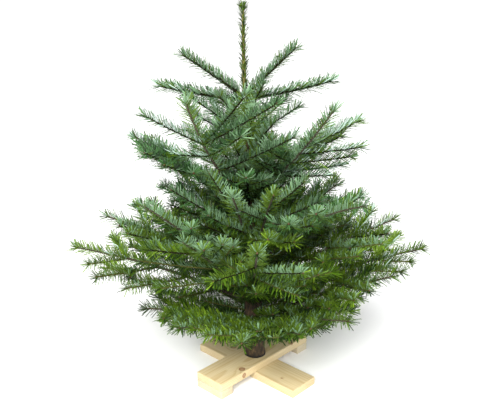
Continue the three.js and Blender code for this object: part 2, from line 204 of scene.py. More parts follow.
def pineMaterial(name, azimuth, board, early, late):
    # growth rings run round a pith line below the board, and fibres run along it
    material = newMaterial(name, pine["roughness"])
    turn = (0, 0, -math.radians(azimuth))
    (across, below), knots = board
    place = mapped(material, turn)
    fromPith = mapped(material, turn, (0, across * mm, below * mm), (pine["alongPith"], 1, 1))
    lift = 0.0
    knotMask = 0.0
    for x, y, z, radius in knots:
        away = addNode(material, "ShaderNodeVectorMath", operation="DISTANCE")
        join(material, place, away.inputs[0])
        away.inputs[1].default_value = (x * mm, y * mm, z * mm)
        share = combine(material, "DIVIDE", away.outputs["Value"], radius * mm)
        uneven = noiseOn(material, place, pine["knotScale"])
        wobble = combine(material, "MULTIPLY", uneven, pine["knotWobble"])
        wobble = combine(material, "SUBTRACT", wobble, pine["knotWobble"] / 2)
        share = combine(material, "ADD", share, wobble)
        core = combine(material, "SUBTRACT", 1.0, combine(material, "MINIMUM", share, 1.0))
        knotMask = combine(material, "MAXIMUM", core, knotMask)
        swell = combine(material, "POWER", 2.0, combine(material, "MULTIPLY", share, -pine["knotSettle"]))
        lift = combine(material, "ADD", swell, lift)
    shifted = addNode(material, "ShaderNodeVectorMath", operation="ADD")
    join(material, fromPith, shifted.inputs[0])
    raised = addNode(material, "ShaderNodeCombineXYZ")
    join(material, combine(material, "MULTIPLY", lift, pine["knotSwell"] * mm), raised.inputs["Z"])
    join(material, raised.outputs["Vector"], shifted.inputs[1])
    rings = addNode(material, "ShaderNodeTexWave", wave_type="RINGS", rings_direction="X",
                    wave_profile="SAW")
    # at a scale of 1 the rings of this texture stand tau / 20 m apart
    rings.inputs["Scale"].default_value = math.tau / (20 * pine["ringPitch"] * mm)
    rings.inputs["Distortion"].default_value = pine["ringWander"]
    rings.inputs["Detail"].default_value = 2
    rings.inputs["Detail Scale"].default_value = 1.2
    join(material, shifted.outputs["Vector"], rings.inputs["Vector"])
    grain = ramp(material, rings.outputs["Fac"], (0.0, early), (0.55, early), (0.92, late), (1.0, early))
    fibres = noiseOn(material, mapped(material, turn, stretch=pine["fibres"]), 1.0, 4, 0.7)
    fibreTint = ramp(material, fibres, (0.3, pine["fibreShade"]), (0.7, white))
    colour = mixColour(material, 1.0, grain, fibreTint, "MULTIPLY")
    patches = noiseOn(material, mapped(material, turn, stretch=pine["patches"]), 1.0, 2)
    patchTint = ramp(material, patches, (0.3, pine["patchShade"]), (0.7, white))
    colour = mixColour(material, pine["patchStrength"], colour, patchTint, "MULTIPLY")
    knotShade = ramp(material, knotMask, (0.0, (0, 0, 0)), (0.12, (0.75, 0.75, 0.75)),
                     (0.3, (0.95, 0.95, 0.95)), (0.6, (0.7, 0.7, 0.7)))
    colour = mixColour(material, knotShade, colour, (*pine["knot"], 1))
    baseColour(material, colour)
    bump(material, combine(material, "ADD", rings.outputs["Fac"], fibres), *pine["relief"])
    return material


def addPlank(name, node, length, azimuth, layer, shift, material):
    deselectAll()
    turn = math.radians(azimuth)
    width, thickness = plank["width"], plank["thickness"]
    middle = layer * (thickness + plank["gap"]) + thickness / 2
    bpy.ops.mesh.primitive_cube_add(
        size=1, location=(shift * math.cos(turn) * mm, shift * math.sin(turn) * mm, middle * mm),
        rotation=(0, 0, turn), scale=(length * mm, width * mm, thickness * mm))
    piece = bpy.context.object
    piece.name = name
    settle(piece)
    bpy.ops.object.mode_set(mode="EDIT")
    bpy.ops.mesh.select_all(action="SELECT")
    bpy.ops.mesh.bevel(offset=plank["eased"] * mm, segments=plank["easeSteps"], affect="EDGES")
    bpy.ops.object.mode_set(mode="OBJECT")
    bpy.ops.object.shade_smooth_by_angle(angle=math.radians(plank["smoothUnder"]))
    finishPiece(piece, [material], [node])


def addStand():
    azimuth = plank["azimuth"]
    footShift = (plank["length"] - plank["footLength"]) / 2
    upper = pineMaterial("pineUpperPlank", azimuth, boards["upper"], pine["early"], pine["late"])
    lower = pineMaterial("pineLowerPlank", azimuth + 90, boards["lower"], pine["early"], pine["late"])
    feet = pineMaterial("pineFeet", azimuth, boards["feet"], pine["feetEarly"], pine["feetLate"])
    addPlank("plankLower", "stand_lower_plank", plank["length"], azimuth + 90, 0, 0, lower)
    addPlank("plankUpper", "stand_upper_plank", plank["length"], azimuth, 1, 0, upper)
    addPlank("footFront", "stand_foot_front", plank["footLength"], azimuth, 0, -footShift, feet)
    addPlank("footBack", "stand_foot_back", plank["footLength"], azimuth, 0, footShift, feet)
    print("stand done")


# height, radius and lean towards +X, as in the source, with a little swelling at each whorl
trunkRows = [
    (46.6, 31, 0), (64, 28.5, -0.5), (130, 25.4, -2.9), (160, 25.6, -4), (200, 23, -5.6),
    (250, 20, -7.5), (268, 21, -8.2), (300, 18.4, -9.5), (400, 15.2, -13.4), (490, 12.7, -16.9),
    (505, 13.6, -17.5), (530, 11.8, -18.5), (650, 9.4, -23), (768, 7.2, -27.5), (781, 8.2, -27.9),
    (790, 6.4, -28.2), (806, 5.2, -28.5), (900, 4.4, -30.1), (1002, 3.2, -31.8), (1008, 2, -32),
]
trunk = {
    "sides": 32, "leaderFrom": 792, "leaderBlend": (-8, 10), "footShadeRing": (3, 9),
    # how far the bark is raised where the trunk's radius is at least fullRadius
    "relief": 1.1, "fullRadius": 24, "scaleAcross": 95, "scaleUp": 26, "fineScale": 2.3, "fineShare": 0.5,
    "halvings": 3, "tallestFace": 12,
}
bark = {
    "crack": (0.005, 0.004, 0.002), "plate": (0.032, 0.019, 0.008), "ridge": (0.105, 0.064, 0.026),
    "footShade": (0.004, 0.003, 0.002), "leaderShade": (0.085, 0.07, 0.018), "leader": (0.17, 0.15, 0.04),
    "plateScale": 150, "leaderScale": 260, "roughness": 0.9, "relief": (0.5, 1.2),
}


def trunkAt(z):
    heights = [row[0] for row in trunkRows]
    return (np.interp(z, heights, [row[1] for row in trunkRows]),
            np.interp(z, heights, [row[2] for row in trunkRows]))


def stepUp(material, height, level, blend):
    node = addNode(material, "ShaderNodeMapRange", interpolation_type="SMOOTHSTEP")
    node.inputs["From Min"].default_value = (level + blend[0]) * mm
    node.inputs["From Max"].default_value = (level + blend[1]) * mm
    join(material, height, node.inputs["Value"])
    return node.outputs["Result"]


def barkMaterial():
    # furrowed below, smooth and olive on the leader
    material = newMaterial("trunkBark", bark["roughness"])
    place = mapped(material)
    plates = noiseOn(material, mapped(material, stretch=(1, 1, 0.35)), bark["plateScale"], 5, 0.65)
    old = ramp(material, plates, (0.30, bark["crack"]), (0.5, bark["plate"]), (0.68, bark["ridge"]))
    streaks = noiseOn(material, mapped(material, stretch=(1, 1, 0.2)), bark["leaderScale"], 3)
    young = ramp(material, streaks, (0.35, bark["leaderShade"]), (0.65, bark["leader"]))
    split = addNode(material, "ShaderNodeSeparateXYZ")
    join(material, place, split.inputs[0])
    height = split.outputs["Z"]
    onLeader = stepUp(material, height, trunk["leaderFrom"], trunk["leaderBlend"])
    colour = mixColour(material, onLeader, old, young)
    # painted shade: a dark ring at the trunk's foot, where it stands on the planks
    aboveCut = stepUp(material, height, trunkRows[0][0], trunk["footShadeRing"])
    colour = mixColour(material, aboveCut, (*bark["footShade"], 1), colour)
    baseColour(material, colour)
    bump(material, plates, *bark["relief"])
    return material


def addTrunk():
    deselectAll()
    z, radius, lean = trunkRows[0]
    bpy.ops.mesh.primitive_circle_add(vertices=trunk["sides"], radius=radius * mm, fill_type="NGON",
                                      location=(lean * mm, 0, z * mm))
    piece = bpy.context.object
    piece.name = "trunkStem"
    settle(piece)
    bpy.ops.object.mode_set(mode="EDIT")
    bpy.ops.mesh.select_all(action="SELECT")
    for (lowZ, lowRadius, lowLean), (highZ, highRadius, highLean) in zip(trunkRows, trunkRows[1:]):
        bpy.ops.mesh.extrude_region_move(TRANSFORM_OT_translate={
            "value": ((highLean - lowLean) * mm, 0, (highZ - lowZ) * mm)})
        share = highRadius / lowRadius
        bpy.ops.transform.resize(value=(share, share, 1), center_override=(highLean * mm, 0, highZ * mm))
    bpy.ops.mesh.select_all(action="SELECT")
    bpy.ops.mesh.normals_make_consistent(inside=False)
    bpy.ops.object.mode_set(mode="OBJECT")
    raiseBark(piece.data)
    finishPiece(piece, [barkMaterial()], ["trunk"])
    print("trunk done")


def raiseBark(mesh):
    # tall faces are cut across, then every corner of the side moves out or in
    shape = bmesh.new()
    shape.from_mesh(mesh)
    for _ in range(trunk["halvings"]):
        tall = [edge for edge in shape.edges
                if abs(edge.verts[0].co.z - edge.verts[1].co.z) > trunk["tallestFace"] * mm]
        if tall:
            bmesh.ops.subdivide_edges(shape, edges=tall, cuts=1)
    for corner in shape.verts:
        height = corner.co.z / mm
        reach, lean = trunkAt(height)
        outward = Vector((corner.co.x - lean * mm, corner.co.y, 0))
        spot = Vector((outward.x * trunk["scaleAcross"], outward.y * trunk["scaleAcross"],
                       corner.co.z * trunk["scaleUp"]))
        fine = trunk["fineShare"] * abs(noise.noise(spot * trunk["fineScale"]))
        rough = noise.fractal(spot, 0.9, 2.1, 4) + fine
        depth = trunk["relief"] * min(1, reach / trunk["fullRadius"])
        corner.co += outward.normalized() * rough * depth * mm
    shape.to_mesh(mesh)
    shape.free()
    for polygon in mesh.polygons:
        polygon.use_smooth = True


# boughs: name, height on the trunk, azimuth, lift, curl (how far the lift changes towards the tip),
# length, years of growth, radius, and whether the bare part is a node of its own
boughs = [
    ("top_left_high", 783, 197, 37, -4, 190, 1, 3, False),
    ("top_left_low", 776, 165, 4, 6, 235, 1, 3, False),
    ("top_right_high", 783, -15, 46, -4, 180, 1, 3, False),
    ("top_right_low", 778, 12, 7, 6, 235, 1, 3, False),
    ("upper_front_left", 500, -122, 34, 30, 400, 2, 4.4, False),
    ("upper_front_right", 508, -40, 38, 16, 370, 2, 4.4, False),
    ("upper_left", 500, 190, 34, -2, 350, 2, 4.2, False),
    ("upper_right", 512, 2, 40, -4, 325, 2, 4.2, False),
    ("upper_back_right", 498, 68, 27, -12, 315, 2, 4.2, False),
    ("upper_back_left", 508, 115, 41, 6, 360, 2, 4.2, False),
    ("upper_front", 492, -92, 45, -18, 210, 2, 3.2, False),
    ("between_left", 400, 176, 30, 4, 270, 2, 3.6, False),
    ("between_right", 392, 6, 28, 10, 280, 2, 3.6, False),
    ("between_back_right", 404, 66, 32, -2, 310, 2, 3.6, False),
    ("between_back_left", 396, 110, 32, -2, 310, 2, 3.6, False),
    ("middle_left", 262, 180, 35, -16, 440, 3, 5.4, True),
    ("middle_right", 258, 0, 30, -6, 430, 3, 5.4, True),
    ("middle_front_left", 270, -140, 43, -4, 435, 3, 5.2, True),
    ("middle_front_right", 272, -42, 62, -44, 455, 3, 5.2, True),
    ("middle_steep_left", 284, -101, 64, -25, 390, 2, 4.6, False),
    ("middle_steep_right", 262, -78, 67, -25, 400, 2, 4.6, False),
    ("middle_back_right", 268, 45, 34, -4, 430, 3, 5.2, True),
    ("middle_back", 256, 84, 34, -4, 465, 3, 5.2, True),
    ("middle_back_left", 274, 130, 36, 0, 440, 3, 5.2, True),
    ("lower_left", 202, 174, 25, -17, 525, 3, 6, True),
    ("lower_right", 196, 6, 26, -17, 505, 3, 6, True),
    ("lower_front", 192, -89, 48, -16, 480, 3, 5.6, True),
    ("lower_front_left", 204, -124, 49, -12, 400, 3, 5.4, True),
    ("lower_front_right", 210, -56, 36, -6, 330, 3, 4.8, False),
    ("lower_back_right", 206, 51, 22, -8, 530, 3, 5.6, True),
    ("lower_back_left", 198, 120, 22, -6, 490, 3, 5.6, True),
    ("bottom_left", 152, 200, 20, -8, 315, 3, 5.4, True),
    ("bottom_right", 156, -16, 29, -8, 415, 3, 5.4, True),
    ("bottom_front_right", 146, -50, 26, -8, 375, 3, 5, False),
    ("bottom_front_left", 150, -127, 23, -8, 320, 3, 5, False),
    ("bottom_back", 150, 88, 14, -8, 375, 3, 5.2, True),
    ("bottom_fore_left", 132, -95, 23, -2, 375, 3, 4.8, False),
    ("bottom_fore_right", 138, -72, 26, -6, 360, 3, 4.8, False),
]
# side shoots of the boughs that face forward: share of the bough, azimuth, lift, length
ownShoots = {
    "upper_front_left": [
        (0.45, -25, 25, 220), (0.6, -55, 25, 150), (0.6, 180, 0, 80), (0.7, -175, 25, 150),
        (0.7, -45, 25, 260), (0.7, -45, 40, 190)],
    "upper_front_right": [
        (0.35, -30, 5, 130), (0.35, -130, 30, 110), (0.4, -5, 5, 150), (0.4, -130, 25, 90),
        (0.5, -130, 25, 110), (0.5, -140, 55, 50), (0.5, -5, 5, 150), (0.6, -5, 5, 150),
        (0.65, 20, 20, 160)],
    "middle_steep_left": [
        (0.35, -45, 30, 120), (0.4, -160, 25, 130), (0.5, -150, 30, 120), (0.55, -170, 30, 210),
        (0.6, -40, 35, 80), (0.7, -160, 55, 140)],
    "middle_steep_right": [
        (0.35, -30, 25, 130), (0.4, -140, 25, 120), (0.5, -30, 25, 140), (0.5, -145, 25, 110),
        (0.65, -20, 25, 160), (0.7, -145, 25, 80), (0.8, -30, 40, 130)],
    "lower_front": [
        (0.3, -35, 15, 160), (0.3, -145, 20, 140), (0.5, -150, 30, 90), (0.5, -50, 0, 150),
        (0.6, -50, 15, 170), (0.7, -135, 0, 130)],
    "lower_front_left": [
        (0.3, -75, 20, 120), (0.4, -155, 0, 190), (0.55, -165, 10, 200), (0.6, -60, 40, 120),
        (0.8, -175, 5, 130), (0.8, -80, 25, 90)],
}
# the boughs at the crown's edges fan wide: four pairs of side shoots, where they stand along the
# bough and how long they are as shares of it
fanShares = (0.2, 0.38, 0.55, 0.72)
fanReach = (0.32, 0.46, 0.44, 0.28)
# each fan: angle to the bough, lift, and fullness on the left and the right of it
fans = {
    "upper_left": (50, 20, 1.2, 0.8),
    "middle_left": (60, 22, 1.1, 0.9),
    "lower_left": (55, 8, 0.9, 0.8),
    "bottom_left": (55, 12, 1.2, 0.8),
    "middle_front_right": (60, 20, 0.9, 1),
    "middle_right": (55, 18, 1, 1.1),
    "lower_right": (45, 10, 1, 0.8),
    "bottom_right": (55, 16, 0.8, 0.9),
    "bottom_front_right": (55, 12, 0.8, 1),
}
bareShare = 0.14  # of a bough of three years
outOfTrunk = 8  # a younger bough is bare this far past the bark
tipRadius = 2.1
topShootThicker = 1.9
agedLength = 250  # a longer bough has wood of earlier years behind its last growth
side = {
    # the source's nodes by years, then the finer ones between them and on the side shoots
    "nodes": {1: [], 2: [0.4, 0.66], 3: [0.38, 0.64]},
    "finer": {1: [], 2: [0.21, 0.30], 3: [0.13, 0.22, 0.51]},
    "onSide": [0.48], "onSideLength": 120, "finerReach": 0.72,
    "reachBase": 0.5, "reachGrowth": 0.6, "reachSpread": 0.08, "angle": 50, "angleSpread": 7,
    "riseSpread": 0.07, "curl": 5, "radiusShare": 0.6, "leastRadius": 2.4, "leastLength": 48,
}


def randomFrom(seed):
    # the same generator as in the source, so that both grow the same shoots
    state = [(seed * 2654435761) % 2 ** 32]

    def draw():
        state[0] = (state[0] * 1664525 + 1013904223) % 2 ** 32
        return state[0] / 2 ** 32
    return draw


def headingOf(azimuth, lift):
    turn, rise = np.radians(azimuth), np.radians(lift)
    level = np.cos(rise)
    return np.stack(np.broadcast_arrays(np.cos(turn) * level, np.sin(turn) * level, np.sin(rise)), -1)


def frameAt(shoot, distances):
    # places and directions along a shoot, a flat arc whose lift changes evenly
    share = np.asarray(distances) / shoot["length"]
    heading = headingOf(shoot["azimuth"], shoot["lift"] + shoot["curl"] * share / 2)
    point = shoot["start"] + heading * np.asarray(distances)[..., None]
    forward = headingOf(shoot["azimuth"], shoot["lift"] + shoot["curl"] * share)
    sideways = np.broadcast_to(headingOf(shoot["azimuth"] + 90, 0), forward.shape)
    return point, forward, sideways, np.cross(forward, sideways)


def radiusAt(shoot, distances):
    return shoot["radius"] + (tipRadius - shoot["radius"]) * np.asarray(distances) / shoot["length"]


def shootFrom(start, bough, level, seed, azimuth, lift, curl, length, bare, radius):
    return {"start": start, "bough": bough, "level": level, "seed": seed, "azimuth": azimuth,
            "lift": lift, "curl": curl, "length": length, "bare": bare, "radius": radius}


def childOf(parent, share, seed, azimuth, lift, length):
    along = share * parent["length"]
    radius = max(side["leastRadius"], side["radiusShare"] * float(radiusAt(parent, along)))
    return shootFrom(frameAt(parent, [along])[0][0], parent["bough"], parent["level"] + 1, seed,
                     azimuth, lift, side["curl"], length, 0, radius)


def sideShoot(parent, share, hand, seed, reachShare):
    draw = randomFrom(seed)

    def spread(size):
        return (draw() * 2 - 1) * size

    _, forward, sideways, _ = (value[0] for value in frameAt(parent, [share * parent["length"]]))
    angle = math.radians(side["angle"] + spread(side["angleSpread"]))
    reach = side["reachBase"] + side["reachGrowth"] * share + spread(side["reachSpread"])
    heading = forward * math.cos(angle) + sideways * hand * math.sin(angle)
    heading[2] += spread(side["riseSpread"])
    heading /= np.linalg.norm(heading)
    azimuth = math.degrees(math.atan2(heading[1], heading[0]))
    lift = math.degrees(math.asin(heading[2]))
    length = parent["length"] * (1 - share) * reach * reachShare
    return childOf(parent, share, seed, azimuth, lift, length)


def fanRows(parent, angle, lift, left, right):
    rows = []
    for share, reach in zip(fanShares, fanReach):
        length = reach * parent["length"]
        rows.append((share, parent["azimuth"] + angle, lift, length * left))
        rows.append((share, parent["azimuth"] - angle, lift, length * right))
    return rows


def sideShoots(shoot, years):
    bough = shoot["bough"]
    if shoot["level"] == 0 and (bough in fans or bough in ownShoots):
        rows = fanRows(shoot, *fans[bough]) if bough in fans else ownShoots[bough]
        return [childOf(shoot, share, shoot["seed"] * 16 + number + 1, *values)
                for number, (share, *values) in enumerate(rows)]
    if bough in ownShoots:
        return []  # these side shoots bear no finer ones
    if shoot["level"] == 0:
        main = [(share, 1) for share in side["nodes"][years]]
        finer = [(share, side["finerReach"]) for share in side["finer"][years]]
    elif shoot["level"] == 1 and shoot["length"] > side["onSideLength"]:
        main, finer = [], [(share, side["finerReach"]) for share in side["onSide"]]
    else:
        return []
    shoots = []
    for k, (share, reachShare) in enumerate(main + finer):
        for hand in (1, -1):
            seed = shoot["seed"] * 16 + 2 * k + (1 if hand > 0 else 2)
            child = sideShoot(shoot, share, hand, seed, reachShare)
            if child["length"] > side["leastLength"]:
                shoots.append(child)
    return shoots


# small twigs straight from the trunk between the whorls: from, to, how many, length, lift
internodes = [
    (92, 140, 7, 105, 14), (165, 190, 5, 120, 22), (212, 248, 6, 120, 28), (290, 380, 9, 130, 38),
    (415, 480, 6, 120, 42), (525, 600, 6, 125, 50), (625, 735, 6, 95, 54),
]
# twigs placed one by one: height, azimuth, lift, length
placedTwigs = [
    (690, 20, 35, 140), (675, 0, 30, 160), (640, -25, 45, 110), (690, 170, 30, 185),
    (710, -75, 65, 50), (560, -60, 35, 200), (600, -30, 60, 105),
]
trunkTwig = {
    "curl": 4, "radius": 1.8, "placedRadius": 2.0, "outOfTrunk": 4, "firstAzimuth": -90,
    "liftSpread": 10, "leastLength": 0.8, "lengthSpread": 0.4, "seed": 9000, "placedSeed": 9100,
}


def twigFromTrunk(z, azimuth, lift, length, radius, seed):
    trunkRadius, lean = trunkAt(z)
    return shootFrom(np.array([lean, 0.0, z]), "trunk_twig", 1, seed, azimuth, lift, trunkTwig["curl"],
                     length, float(trunkRadius) + trunkTwig["outOfTrunk"], radius)


def growInternodes():
    twigs = [twigFromTrunk(*row, trunkTwig["placedRadius"], trunkTwig["placedSeed"] + number)
             for number, row in enumerate(placedTwigs)]
    order = 0
    for low, high, count, length, lift in internodes:
        draw = randomFrom(trunkTwig["seed"] + low)
        for k in range(count):
            z = low + (high - low) * (k + draw()) / count
            order += 1
            azimuth = order * goldenAngle + trunkTwig["firstAzimuth"]
            ownLift = lift + trunkTwig["liftSpread"] * (draw() - 0.5)
            share = trunkTwig["leastLength"] + trunkTwig["lengthSpread"] * draw()
            twigs.append(twigFromTrunk(z, azimuth, ownLift, trunkAt(z)[0] + length * share,
                                       trunkTwig["radius"], trunkTwig["seed"] + order))
    return twigs


def growBough(number, row):
    name, z, azimuth, lift, curl, length, years, radius, _ = row
    trunkRadius, lean = trunkAt(z)
    if years > 2:
        bare = bareShare * length
    else:
        bare = trunkRadius / math.cos(math.radians(lift)) + outOfTrunk
    if years == 1:
        radius += topShootThicker
    start = np.array([lean, 0.0, z])
    crown = [shootFrom(start, name, 0, number + 1, azimuth, lift, curl, length, bare, radius)]
    newest = crown
    while newest:
        newest = [child for shoot in newest for child in sideShoots(shoot, years)]
        crown = crown + newest
    return crown


twig = {"sides": 5, "boughSides": 8, "step": 26, "knobbly": 0.12, "oliveBelow": 380}
twigBark = {
    "crack": (0.016, 0.012, 0.007), "grey": (0.045, 0.033, 0.020), "ridge": (0.11, 0.085, 0.055),
    # painted shade: the young shoots' bark is nearly black, partly its own dark brown and partly the
    # shade round the needle bases
    "young": (0.010, 0.007, 0.003), "olive": (0.072, 0.074, 0.020),
    "scale": 320, "roughness": 0.88, "relief": (0.4, 0.6),
}
oldBark, youngBarkAndShade, oliveBark = range(3)  # their places in the list of materials


def tubeOf(shoot, sides, rough):
    rings = max(2, int(shoot["length"] / twig["step"]) + 1)
    distances = np.linspace(0, shoot["length"], rings)
    point, forward, sideways, up = frameAt(shoot, distances)
    turn = np.arange(sides) * math.tau / sides
    radius = radiusAt(shoot, distances)[:, None]
    if rough:
        draw = np.random.default_rng(shoot["seed"])
        radius = radius * (1 + rough * draw.uniform(-1, 1, (rings, sides)))
    around = np.cos(turn)[None, :, None] * sideways[:, None] + np.sin(turn)[None, :, None] * up[:, None]
    corners = (point[:, None] + around * (radius * np.ones((1, sides)))[..., None]).reshape(-1, 3)
    corners = np.vstack([corners, point[:1], point[-1:] + forward[-1:] * tipRadius])
    ring, spoke = np.meshgrid(np.arange(rings - 1), np.arange(sides), indexing="ij")
    here = ring * sides + spoke
    beside = ring * sides + (spoke + 1) % sides
    faces = np.concatenate([np.stack([here, beside, beside + sides], -1).reshape(-1, 3),
                            np.stack([here, beside + sides, here + sides], -1).reshape(-1, 3)])
    start, end = rings * sides, rings * sides + 1
    first, second = np.arange(sides), (np.arange(sides) + 1) % sides
    last = (rings - 1) * sides
    caps = np.concatenate([np.stack([np.full(sides, start), second, first], -1),
                           np.stack([np.full(sides, end), last + first, last + second], -1)])
    # the ring runs from side to up, which turns against the way forward
    return corners, np.concatenate([faces, caps])[:, ::-1]


def gather(parts):
    # many small meshes as one
    corners, faces, tints = zip(*parts)
    offsets = np.cumsum([0] + [len(part) for part in corners[:-1]])
    moved = [part + offset for part, offset in zip(faces, offsets)]
    return np.concatenate(corners), np.concatenate(moved), np.concatenate(tints)


def twigMaterials():
    old = newMaterial("boughBark", twigBark["roughness"])
    grain = noiseOn(old, mapped(old), twigBark["scale"], 4, 0.65)
    baseColour(old, ramp(old, grain, (0.32, twigBark["crack"]), (0.52, twigBark["grey"]),
                         (0.7, twigBark["ridge"])))
    bump(old, grain, *twigBark["relief"])
    young = newMaterial("youngShootBarkAndShade", 0.9, twigBark["young"], 0.1)
    return [old, young, newMaterial("lowShootBark", 0.9, twigBark["olive"], 0.1)]


def isAged(shoot):
    return shoot["level"] == 0 and shoot["length"] > agedLength


def addTwigs(crown):
    parts = []
    for shoot in crown:
        form = (twig["boughSides"], twig["knobbly"]) if shoot["level"] == 0 else (twig["sides"], 0)
        corners, faces = tubeOf(shoot, *form)
        tint = oliveBark if shoot["start"][2] <= twig["oliveBelow"] else youngBarkAndShade
        parts.append((corners, faces, np.full(len(faces), oldBark if isAged(shoot) else tint)))
    piece = meshFromArrays("twigs", *gather(parts), smooth=True)
    limbs = ["bough_" + name for name, *_, isLimb in boughs if isLimb]
    finishPiece(piece, twigMaterials(), limbs)
    print("twigs:", len(crown), "shoots")


needle = {
    "length": 31, "topLength": 28, "width": 3.1, "lowWider": 1.2, "keel": 0.5, "arch": 1.8,
    "perMillimetre": 1.15, "upperShare": 1.15, "youngShare": 1.75, "pieceLimit": 190000,
    # the wood behind a long bough's last growth has lost some of its needles
    "oldPart": 0.55, "oldShare": 0.6,
    # two raised ranks and two spread ones, in degrees from the top of the shoot
    "raised": (12, 62), "lowRaised": (3, 62), "spread": (82, 134), "raisedShare": 0.58,
    "topRaisedMore": 0.1, "turnSpread": 8, "raisedTo": 75, "hangingFrom": 96,
    # degrees off the shoot, less near the tip, and a rosette round the bud
    "topAngle": 48, "sideAngle": 57, "angleSpread": 4, "tipLean": 14, "tipRun": 8,
    "rosette": 18, "rosetteRun": 4, "rosetteAngles": (10, 55),
    # some needles stand out of the brush, the rest close it round the shoot
    "standing": 0.5, "standingLengths": (0.95, 1.15), "closeLengths": (0.6, 0.88),
    "tipShorter": 0.08, "footShorter": 0.25, "footRun": 12,
    # the hanging needles are longer and show their thin edges
    "hangingLonger": 1.12, "topHangingLonger": 1.3, "hangingWidth": 0.7, "widths": (0.85, 1.15),
    "arches": (0.4, 1.4), "silverArch": -0.6, "facingSpread": 0.16, "sunk": 0.7,
}
# shares of a needle's length, and of its width to either side
blade = {"from": 0.04, "footWidth": 0.42, "tipWidth": 0.36, "keelAt": 0.5, "keelArch": 0.35}
upperWhorls = ("upper", "between", "trunk")
# of a whorl's raised needles, how many keep their pale side outward and how many of those carry a painted
# glint
paleShares = {
    "top": (0.5, 0.25), "upper": (1.0, 0.4), "between": (0.45, 0.3), "middle": (0.22, 0.5),
    "lower": (0.12, 0.3), "bottom": (0.06, 0.1), "trunk": (0.3, 0),
}
# a steep shoot shows its undersides anyway, and few needles of the spread ranks turn over
paleRule = {"spread": (0.6, 1.3), "steepLift": 36, "steep": 0.2, "spreadRanks": 0.1}
greens = {
    "needleDeep": (0.014, 0.036, 0.006), "needleGrass": (0.074, 0.152, 0.008),
    "needleFresh": (0.160, 0.275, 0.016), "needleBlue": (0.053, 0.142, 0.04),
}
undersides = {
    "needleSilver": (0.175, 0.30, 0.16), "needlePaleGreen": (0.080, 0.145, 0.011),
    # a painted highlight: a near-white glint on some outward pale sides
    "needlePaintedGlint": (0.440, 0.590, 0.500),
}
# their places in the list of materials
deep, grass, fresh, blue, silver, paleGreen, paintedGlint = range(7)
rule = {
    # where, in millimetres
    "crownRadius": 420, "blueAbove": 470, "leftOf": -120, "leftBelow": 330,
    "sheenAbove": 530, "sheenAcross": 160, "sheenBefore": 20, "silverHeights": (340, 520),
    # how often; a spray is judged by the place this far along it
    "along": 0.6, "inner": 0.3, "lowDeep": 0.6, "highDeep": 0.1, "blue": 0.88,
    "fresh": 0.1, "outerFresh": 0.08, "leftFresh": 0.25, "grass": 0.8,
    "own": 0.5, "lighter": 0.8, "shadedRanksLighter": 0.6, "silver": (0.04, 0.9), "otherUnder": 0.25,
}


def needleMaterials():
    tops = [newMaterial(name, 0.4, colour, 0.45) for name, colour in greens.items()]
    return tops + [newMaterial(name, 0.6, colour, 0.25) for name, colour in undersides.items()]


def unit(vectors):
    return vectors / np.maximum(np.linalg.norm(vectors, axis=-1, keepdims=True), 1e-9)


def squareTo(heading, vectors):
    return unit(vectors - heading * (vectors * heading).sum(-1, keepdims=True))


def needleMesh(root, heading, facing, length, width, arch, top, under):
    # six triangles for each needle: a green blade above, blunt at its tip, and a paler keel below
    across = np.cross(heading, facing) * width[:, None]
    length, arch = length[:, None], arch[:, None]
    near = root + heading * length * blade["from"]
    hang = arch * blade["keelArch"] - needle["keel"]
    keel = root + heading * length * blade["keelAt"] + facing * hang
    tip = root + heading * length + facing * arch
    corners = np.stack([near - across * blade["footWidth"], near + across * blade["footWidth"],
                        tip - across * blade["tipWidth"], tip + across * blade["tipWidth"], keel], 1)
    pattern = np.array([[0, 1, 3], [0, 3, 2], [0, 4, 1], [1, 4, 3], [3, 4, 2], [2, 4, 0]])
    faces = (np.arange(len(root))[:, None, None] * 5 + pattern[None]).reshape(-1, 3)
    tints = np.repeat(np.stack([top, under], 1), [2, 4], axis=1)
    return corners.reshape(-1, 3), faces, tints.ravel()


def topTint(place, paintedSheen, luck):
    # upper boughs are bluer, inner ones deeper, low outer ones fresher
    x, y, z = place
    out = math.hypot(x - trunkAt(z)[1], y) / rule["crownRadius"]
    high = z > rule["blueAbove"]
    if out < rule["inner"] and luck < rule["highDeep" if high else "lowDeep"]:
        return deep
    if high:
        # painted highlight: the fans in front keep the blue tint, which partly turns silver in tintsOf
        return blue if luck < rule["blue"] or paintedSheen else grass
    freshShare = rule["fresh"] + rule["outerFresh"] * out
    if x < rule["leftOf"] and z < rule["leftBelow"]:
        freshShare += rule["leftFresh"]
    if luck < freshShare:
        return fresh
    return grass if luck < rule["grass"] else deep


def tintsOf(shoot, draw, count, low):
    # one tint for each spray, from which some of its needles differ
    x, y, z = place = frameAt(shoot, [rule["along"] * shoot["length"]])[0][0]
    # painted highlight: the fans in front show the silver colour on some of their tops and on their
    # undersides, as if lit more strongly
    paintedSheen = z > rule["sheenAbove"] and abs(x) < rule["sheenAcross"] and y < rule["sheenBefore"]
    own = topTint(place, paintedSheen, draw.random())
    lighter, darker = {
        deep: (grass, deep), grass: (fresh, deep), fresh: (fresh, grass),
        blue: (silver if paintedSheen else blue, deep)}[own]
    luck = draw.random(count)
    # painted shade: needles of the spread and hanging ranks, below the shoot, take the darker tint more
    # often than the raised ones
    lighterTo = np.where(low, rule["shadedRanksLighter"], rule["lighter"])
    tops = np.where(luck < rule["own"], own, np.where(luck < lighterTo, lighter, darker))
    silvery = draw.random() < np.interp(z, rule["silverHeights"], rule["silver"]) or paintedSheen
    return tops, silver if silvery else paleGreen


def whorlOf(bough):
    return bough.split("_")[0]


